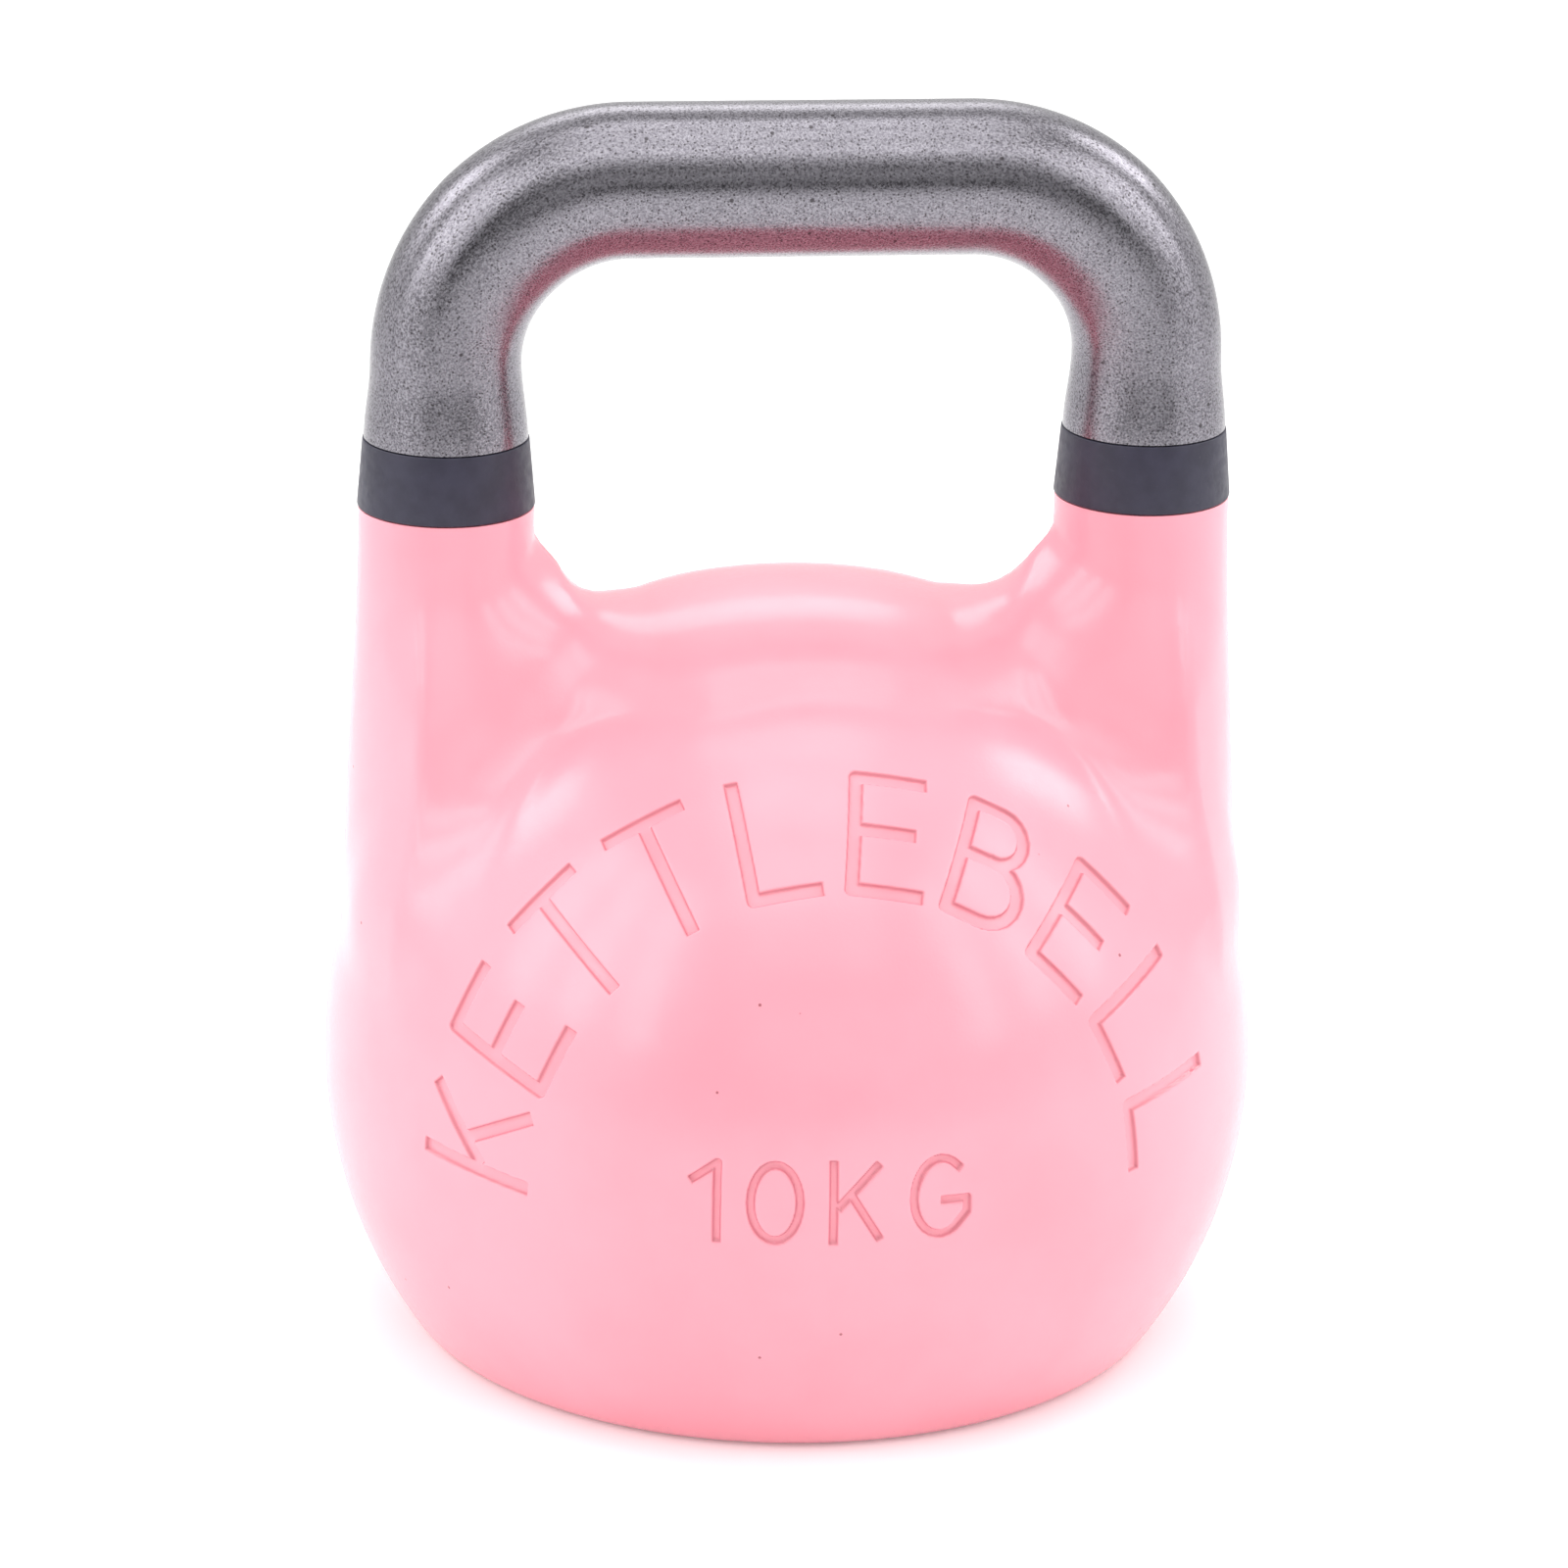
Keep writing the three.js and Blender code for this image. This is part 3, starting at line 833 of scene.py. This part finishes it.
def zinc_plate():
    """Turned and zinc-plated steel: fine rings round the axis and a cloudy finish."""
    zinc = Finish("zinc_plate", Metallic=1.0)
    place = zinc.object_place()
    flat = zinc.stretched(place, (1.0, 1.0, 0.0))
    radius = zinc.node("VectorMath", {0: flat}, "Value", operation="LENGTH")
    rings = zinc.noise(zinc.node("CombineXYZ", {"X": radius}), 0.4, 3.0)
    cloudy = zinc.ramp(zinc.noise(place, 8.0, 4.0), 0.3, 0.7)
    zinc.set("Base Color", zinc.mix(cloudy, linear(170, 170, 166), linear(198, 198, 196)))
    zinc.set("Roughness", zinc.ramp(cloudy, 0.0, 1.0, 0.34, 0.46))
    zinc.set("Normal", zinc.bump(rings, 0.02))
    return zinc.material


def black_rubber():
    rubber = Finish("black_rubber")
    place = rubber.object_place()
    bloom = rubber.ramp(rubber.noise(place, 3.0, 3.0), 0.4, 0.7)
    rubber.set("Base Color", rubber.mix(bloom, linear(26, 26, 28), linear(44, 44, 46)))
    rubber.set("Roughness", rubber.ramp(bloom, 0.0, 1.0, 0.6, 0.8))
    rubber.set("Normal", rubber.bump(rubber.noise(place, 0.5), 0.05))
    return rubber.material


def shot_resin():
    """Iron shot bound in resin."""
    shot = Finish("shot_resin", Metallic=0.4)
    place = shot.object_place()
    grains = shot.ramp(shot.cells(place, 2.4), 0.15, 0.6, 1.0, 0.0)
    shot.set("Base Color", shot.mix(grains, linear(60, 50, 40), linear(120, 116, 112)))
    shot.set("Roughness", shot.ramp(grains, 0.0, 1.0, 0.8, 0.45))
    shot.set("Normal", shot.bump(grains, 0.6))
    return shot.material


def filler_foam():
    """Rigid foam with open cells at its surface, darker inside the cells as painted shade."""
    foam = Finish("filler_foam", Roughness=0.95)
    place = foam.object_place()
    holes_and_painted_shade = foam.ramp(foam.cells(place, 1.8), 0.1, 0.7)
    # The open cells are pits in the bump and are coloured darker: painted shade in the pits.
    foam.set("Base Color", foam.mix(holes_and_painted_shade, linear(190, 176, 130), linear(222, 212, 176)))
    foam.set("Normal", foam.bump(holes_and_painted_shade, 0.5))
    return foam.material


# ---- Pieces ---------------------------------------------------------------------------------------

vinyl, zinc = dark_vinyl(), zinc_plate()
finish(make_bell(), pink_paint(), "paint", "bell_shell")
finish(make_handle(), bare_steel(), "bare_steel", "handle")
finish(make_band("leg_band_right", 1), vinyl, "band", "band_right")
finish(make_band("leg_band_left", -1), vinyl, "band", "band_left")
finish(make_base_plate(), zinc, "plate", "base_plate")
finish(make_plug(), zinc, "plug", "fill_plug")
finish(make_seal(), black_rubber(), "seal", "plug_seal")
for node, material in (("ballast_slug", shot_resin()), ("foam_core", filler_foam())):
    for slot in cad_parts[node].material_slots:
        slot.material = material


# ---- Stage, camera and lights ---------------------------------------------------------------------

scene = bpy.context.scene
scene.view_settings.view_transform = "Standard"

FLOOR_HALF = 30.0


def make_floor():
    bm = bmesh.new()
    bmesh.ops.create_grid(bm, x_segments=4, y_segments=4, size=FLOOR_HALF)
    mesh = bpy.data.meshes.new("floor")
    bm.to_mesh(mesh)
    bm.free()
    floor = new_object("floor", mesh)
    pale = Finish("pale_floor", Roughness=0.7)
    clouds = pale.ramp(pale.noise(pale.object_place(), 400.0, 2.0), 0.3, 0.7)
    white = pale.mix(clouds, (0.88, 0.88, 0.88, 1.0), (0.9, 0.9, 0.9, 1.0))
    pale.set("Base Color", white)
    pale.set("Emission Color", white)
    pale.shader.inputs["Emission Strength"].default_value = 0.15
    floor.data.materials.append(pale.material)


def turn(axis, degrees):
    return Matrix.Rotation(math.radians(degrees), 4, axis)


# The camera: metres and degrees. It looks down by the pitch, from a turn round the upright axis.
CAMERA_TURN, CAMERA_DISTANCE, CAMERA_HEIGHT = -6.81, 1.3, 0.5711
CAMERA_PITCH, CAMERA_YAW, CAMERA_ROLL = 18.99, 0.07, 0.947
CAMERA_LENS, CAMERA_SENSOR = 140.42, 36.0


def make_camera():
    """In front, a little to the left and looking down, with the picture's slight roll."""
    camera = bpy.data.objects.new("camera", bpy.data.cameras.new("camera"))
    scene.collection.objects.link(camera)
    camera.data.sensor_width = CAMERA_SENSOR
    camera.data.lens = CAMERA_LENS
    camera.data.clip_end = 100.0
    place = turn("Z", CAMERA_TURN) @ Matrix.Translation((0.0, -CAMERA_DISTANCE, CAMERA_HEIGHT))
    aim = turn("Z", CAMERA_YAW) @ turn("X", 90.0 - CAMERA_PITCH)
    camera.matrix_world = place @ aim @ turn("Z", CAMERA_ROLL)
    scene.camera = camera


AIM = Vector((0.0, 0.0, 0.12))


def softbox(name, azimuth, elevation, size, power):
    """A rectangular light aimed at the bell. Azimuth 0 is the front, and 90 is the right."""
    light = bpy.data.lights.new(name, "AREA")
    light.shape = "RECTANGLE"
    light.size, light.size_y = size
    light.energy = power
    lamp = bpy.data.objects.new(name, light)
    scene.collection.objects.link(lamp)
    a, e = math.radians(azimuth), math.radians(elevation)
    out = Vector((math.cos(e) * math.sin(a), -math.cos(e) * math.cos(a), math.sin(e)))
    lamp.location = AIM + LIGHT_DISTANCE * out
    lamp.rotation_euler = out.to_track_quat("Z", "Y").to_euler()
    lamp.visible_camera = False


# Each glow of the surroundings grows along one axis: the axis, where it starts, where it is full, strength.
GLOWS = (
    ("Y", -0.95, -0.2, 0.5),
    ("Y", 0.35, 0.95, 0.4),
    ("X", -0.5, -1.0, 0.6),
    ("X", 0.5, 1.0, 0.6),
    ("Z", 0.2, 0.9, 0.3),
)

# Plain soft light, the same at the left and the right: sizes in metres, powers in watts, angles in degrees.
LIGHT_DISTANCE = 2.0
TALL_BOX, WIDE_BOX, SQUARE_BOX = (0.3, 1.4), (1.2, 0.6), (0.7, 0.7)
SIDE_AZIMUTHS, SIDE_ELEVATION, SIDE_POWER = (45.0, 62.5, 80.0), 33.0, 4.3
TOP_ELEVATIONS, TOP_POWER = (60.0, 80.0, 100.0, 140.0), 4.5     # past 90 degrees is behind the bell
FRONT_ELEVATIONS, FRONT_POWER = (20.0, 45.0), 2.0
BACK_AZIMUTH, BACK_ELEVATION, BACK_POWER = 120.0, 37.0, 7.0


def make_lights():
    """Softboxes over and in front of the bell, and pairs of them beside and behind it."""
    for elevation in FRONT_ELEVATIONS:
        softbox(f"front_{elevation:.0f}", 0.0, elevation, WIDE_BOX, FRONT_POWER)
    for elevation in TOP_ELEVATIONS:
        softbox(f"top_{elevation:.0f}", 0.0, elevation, WIDE_BOX, TOP_POWER)
    for side, name in ((-1, "left"), (1, "right")):
        for azimuth in SIDE_AZIMUTHS:
            softbox(f"{name}_{azimuth:.0f}", side * azimuth, SIDE_ELEVATION, TALL_BOX, SIDE_POWER)
        softbox(f"back_{name}", side * BACK_AZIMUTH, BACK_ELEVATION, SQUARE_BOX, BACK_POWER)


def make_world():
    """Pale all round but for the side behind the camera, and brighter overhead."""
    world = bpy.data.worlds.new("studio")
    scene.world = world
    world.use_nodes = True
    nodes, links = world.node_tree.nodes, world.node_tree.links
    split = nodes.new("ShaderNodeSeparateXYZ")
    links.new(nodes.new("ShaderNodeTexCoord").outputs["Generated"], split.inputs[0])
    total = None
    for axis, start, end, strength in GLOWS:
        glow = nodes.new("ShaderNodeMapRange")
        glow.interpolation_type = "SMOOTHSTEP"
        for socket, value in enumerate((start, end, 0.0, strength), start=1):
            glow.inputs[socket].default_value = value
        links.new(split.outputs[axis], glow.inputs["Value"])
        if total is None:
            total = glow.outputs[0]
            continue
        add = nodes.new("ShaderNodeMath")
        links.new(total, add.inputs[0])
        links.new(glow.outputs[0], add.inputs[1])
        total = add.outputs[0]
    links.new(total, nodes["Background"].inputs["Strength"])
    nodes["Background"].inputs["Color"].default_value = (1.0, 1.0, 1.0, 1.0)


make_floor()
make_camera()
make_world()
make_lights()
